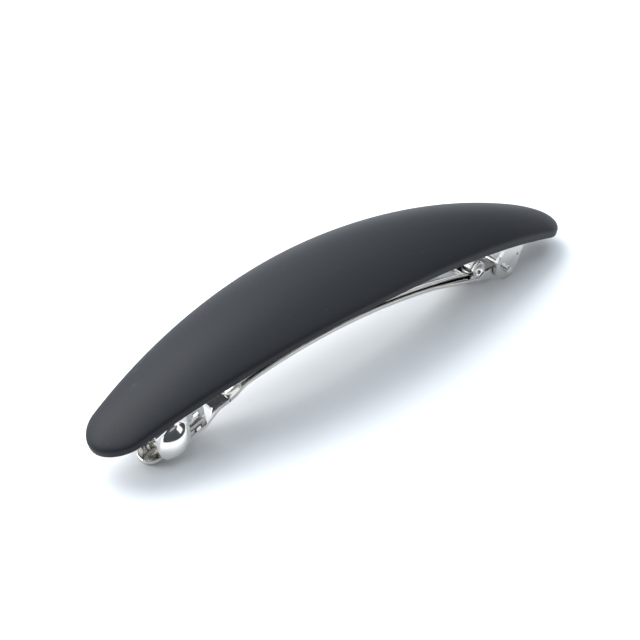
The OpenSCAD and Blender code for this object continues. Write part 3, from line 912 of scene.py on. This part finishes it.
def floor_paint():
    """Plain white floor: an even tone with a faint mottling."""
    material, tree, shader, places = start_material("floor_white", 0.7, specular=0.2)
    grain = use_group(tree, GRAIN, places, Scale=900.0, Coarse_Scale=9.0)
    darker = tuple(c * 0.985 for c in WHITE)
    tree.links.new(mixed(tree, grain["Patches"], WHITE, darker), shader.inputs["Base Color"])
    return material


FLOOR_HALF = 3.0
FLOOR_CORNERS = ((-1, -1), (1, -1), (1, 1), (-1, 1))
floor_mesh = bpy.data.meshes.new("floor")
floor_mesh.from_pydata([(FLOOR_HALF * x, FLOOR_HALF * y, 0) for x, y in FLOOR_CORNERS], [], [(0, 1, 2, 3)])
floor = bpy.data.objects.new("floor", floor_mesh)
bpy.context.scene.collection.objects.link(floor)
floor.data.materials.append(floor_paint())


COOL = (0.84, 0.92, 1.0)
CEILING_DIR = (-0.1, 0.45, 0.88)
WORLD_STRENGTH = 1.5


def studio_world():
    """Soft studio surroundings: a dim band round the horizon under a bright, slightly cool ceiling."""
    world = bpy.data.worlds.new("studio")
    bpy.context.scene.world = world
    world.use_nodes = True
    tree = world.node_tree
    places = tree.nodes.new("ShaderNodeTexCoord").outputs["Generated"]
    towards = Vector(CEILING_DIR).normalized()
    facing = add_node(tree, "ShaderNodeVectorMath", {0: places, 1: towards}, operation="DOT_PRODUCT")
    ramp = add_node(tree, "ShaderNodeValToRGB", {"Fac": facing.outputs["Value"]})
    stops = ramp.color_ramp.elements
    stops[0].position, stops[0].color = 0.0, (*(0.06 * c for c in COOL), 1)
    stops[1].position, stops[1].color = 1.0, (*COOL, 1)
    for place, tone in ((0.3, 0.07), (0.42, 0.7), (0.6, 0.95)):
        stop = stops.new(place)
        stop.color = (*(tone * c for c in COOL), 1)
    background = tree.nodes["Background"]
    tree.links.new(ramp.outputs["Color"], background.inputs["Color"])
    background.inputs["Strength"].default_value = WORLD_STRENGTH


def area(name, place, target, size, power):
    """A square softbox that faces a target, in metres and watts."""
    light = bpy.data.lights.new(name, "AREA")
    light.shape = "RECTANGLE"
    light.size, light.size_y = size, size
    light.energy = power
    obj = bpy.data.objects.new(name, light)
    bpy.context.scene.collection.objects.link(obj)
    obj.location = place
    obj.rotation_euler = (Vector(target) - Vector(place)).to_track_quat("-Z", "Y").to_euler()


studio_world()
area("overhead_softbox", (-0.2, 0.5, 0.75), (0, 0, 0), size=0.9, power=9.0)
area("front_square_light", (0.31, -0.32, 0.24), (-0.03, 0, 0.01), size=0.24, power=0.22)


# ---------------------------------------------------------------- camera
CAM_AZ = math.radians(-43.955)
CAM_EL = math.radians(35.0)
CAM_DIST = 811.767
FOCAL_SHARE = 5003.864 / 640  # focal length over the picture's side
SENSOR = 36.0
AIM_RIGHT = -1.839        # aim point, from the middle of the cover's underside
AIM_UP = -5.768


def main_camera():
    """The camera at the main view: it looks along an azimuth and an elevation at an aim point
    that is offset from the middle of the cover's underside."""
    level = math.cos(CAM_EL)
    back = Vector((math.sin(CAM_AZ) * level, -math.cos(CAM_AZ) * level, math.sin(CAM_EL)))
    right = Vector((math.cos(CAM_AZ), math.sin(CAM_AZ), 0))
    up = back.cross(right)
    middle = Vector((ARCH_R * math.sin(COVER_TILT) - MIDDLE_X, 0, ARCH_R * math.cos(COVER_TILT) + AXIS_Z))
    aim = right * AIM_RIGHT + up * AIM_UP + middle
    data = bpy.data.cameras.new("camera")
    cam = bpy.data.objects.new("camera", data)
    bpy.context.scene.collection.objects.link(cam)
    cam.matrix_world = Matrix((
        (right.x, up.x, back.x, 0), (right.y, up.y, back.y, 0), (right.z, up.z, back.z, 0), (0, 0, 0, 1)))
    cam.location = (aim + back * CAM_DIST) * MM
    data.lens = SENSOR * FOCAL_SHARE
    data.sensor_width = SENSOR
    data.clip_start = 0.01
    data.clip_end = 10
    bpy.context.scene.camera = cam


main_camera()
bpy.context.scene.view_settings.view_transform = "Standard"
